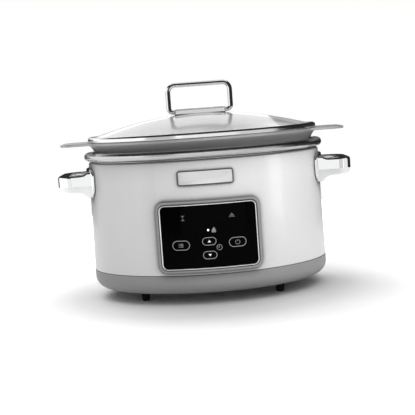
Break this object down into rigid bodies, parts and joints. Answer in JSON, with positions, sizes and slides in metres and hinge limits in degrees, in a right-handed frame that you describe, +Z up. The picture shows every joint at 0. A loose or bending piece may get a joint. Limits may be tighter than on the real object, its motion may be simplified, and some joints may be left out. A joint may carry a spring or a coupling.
{
  "type": "slow cooker",
  "caption": "Oval white slow cooker with a lift-out metal pot, domed glass lid, bar lid handle, side handles and a black front control panel with push keys.",
  "frame": {"origin": "centre of the footprint on the surface it stands on", "axes": "+X towards the right-hand side handle, +Y towards the back, +Z up; the control panel faces -Y"},
  "size_m": [0.421, 0.2646, 0.3019],
  "materials": {
    "white_painted_steel": "semi-gloss white paint",
    "grey_plastic": "satin moulded plastic",
    "brushed_steel": "brushed, brightened edges",
    "chrome": "polished",
    "coated_aluminium": "satin coating over cast aluminium",
    "bare_aluminium": "mill finish",
    "steel": "zinc-plated sheet",
    "lid_glass": "clear tempered glass",
    "black_gloss_plastic": "mirror black",
    "black_plastic": "fine moulded texture",
    "circuit_board": "solder mask",
    "white_plastic": "moulded",
    "mica_band": "mica sheet",
    "red_lead": "sleeved wire",
    "brass": "drawn",
    "rubber": "matte"
  },
  "bodies": {
    "cooker_base": {"outer_shell": "white_painted_steel", "base_skirt": "grey_plastic", "control_frame": "grey_plastic", "top_rim_ring": "brushed_steel", "badge_plate": "brushed_steel", "side_handle_left": "chrome", "side_handle_right": "chrome", "control_trim": "chrome", "heating_well": "bare_aluminium", "temperature_probe": "bare_aluminium", "bottom_cover": "steel", "heat_shield": "steel", "foot_screw_front_left": "steel", "foot_screw_front_right": "steel", "foot_screw_rear_left": "steel", "foot_screw_rear_right": "steel", "cover_screw_left": "steel", "cover_screw_right": "steel", "side_handle_screw_left_front": "steel", "side_handle_screw_left_rear": "steel", "side_handle_screw_right_front": "steel", "side_handle_screw_right_rear": "steel", "control_face": "black_gloss_plastic", "control_housing": "black_plastic", "display_module": "black_plastic", "transformer": "black_plastic", "relay": "black_plastic", "cord_gland": "black_plastic", "mains_lead": "black_plastic", "panel_lead": "black_plastic", "key_switch_menu": "black_plastic", "key_switch_up": "black_plastic", "key_switch_down": "black_plastic", "key_switch_power": "black_plastic", "control_board": "circuit_board", "power_board": "circuit_board", "status_lamp": "white_plastic", "terminal_block": "white_plastic", "heater_band": "mica_band", "heater_lead": "red_lead", "probe_lead": "red_lead", "thermal_fuse": "brass", "foot_front_left": "rubber", "foot_front_right": "rubber", "foot_rear_left": "rubber", "foot_rear_right": "rubber"},
    "pot": {"cooking_pot": "coated_aluminium"},
    "lid": {"lid_glass": "lid_glass", "lid_rim": "brushed_steel", "lid_handle_block": "chrome", "lid_handle_gasket": "rubber", "lid_handle_loop": "chrome", "lid_screw_left": "steel", "lid_screw_right": "steel", "lid_washer_left": "steel", "lid_washer_right": "steel"},
    "menu_key": {"key_menu": "black_gloss_plastic"},
    "up_key": {"key_up": "black_gloss_plastic"},
    "down_key": {"key_down": "black_gloss_plastic"},
    "power_key": {"key_power": "black_gloss_plastic"}
  },
  "joints": [
    {"name": "pot_lift", "type": "slide", "parent": "cooker_base", "child": "pot", "axis": [0, 0, 1], "range_m": [0, 0.18]},
    {"name": "lid_lift", "type": "slide", "parent": "pot", "child": "lid", "axis": [0, 0, 1], "range_m": [0, 0.12]},
    {"name": "menu_press", "type": "slide", "parent": "cooker_base", "child": "menu_key", "axis": [0, 1, 0], "range_m": [0, 0.0006], "stiffness_N_per_m": 1200},
    {"name": "up_press", "type": "slide", "parent": "cooker_base", "child": "up_key", "axis": [0, 1, 0], "range_m": [0, 0.0006], "stiffness_N_per_m": 1200},
    {"name": "down_press", "type": "slide", "parent": "cooker_base", "child": "down_key", "axis": [0, 1, 0], "range_m": [0, 0.0006], "stiffness_N_per_m": 1200},
    {"name": "power_press", "type": "slide", "parent": "cooker_base", "child": "power_key", "axis": [0, 1, 0], "range_m": [0, 0.0006], "stiffness_N_per_m": 1200}
  ]
}
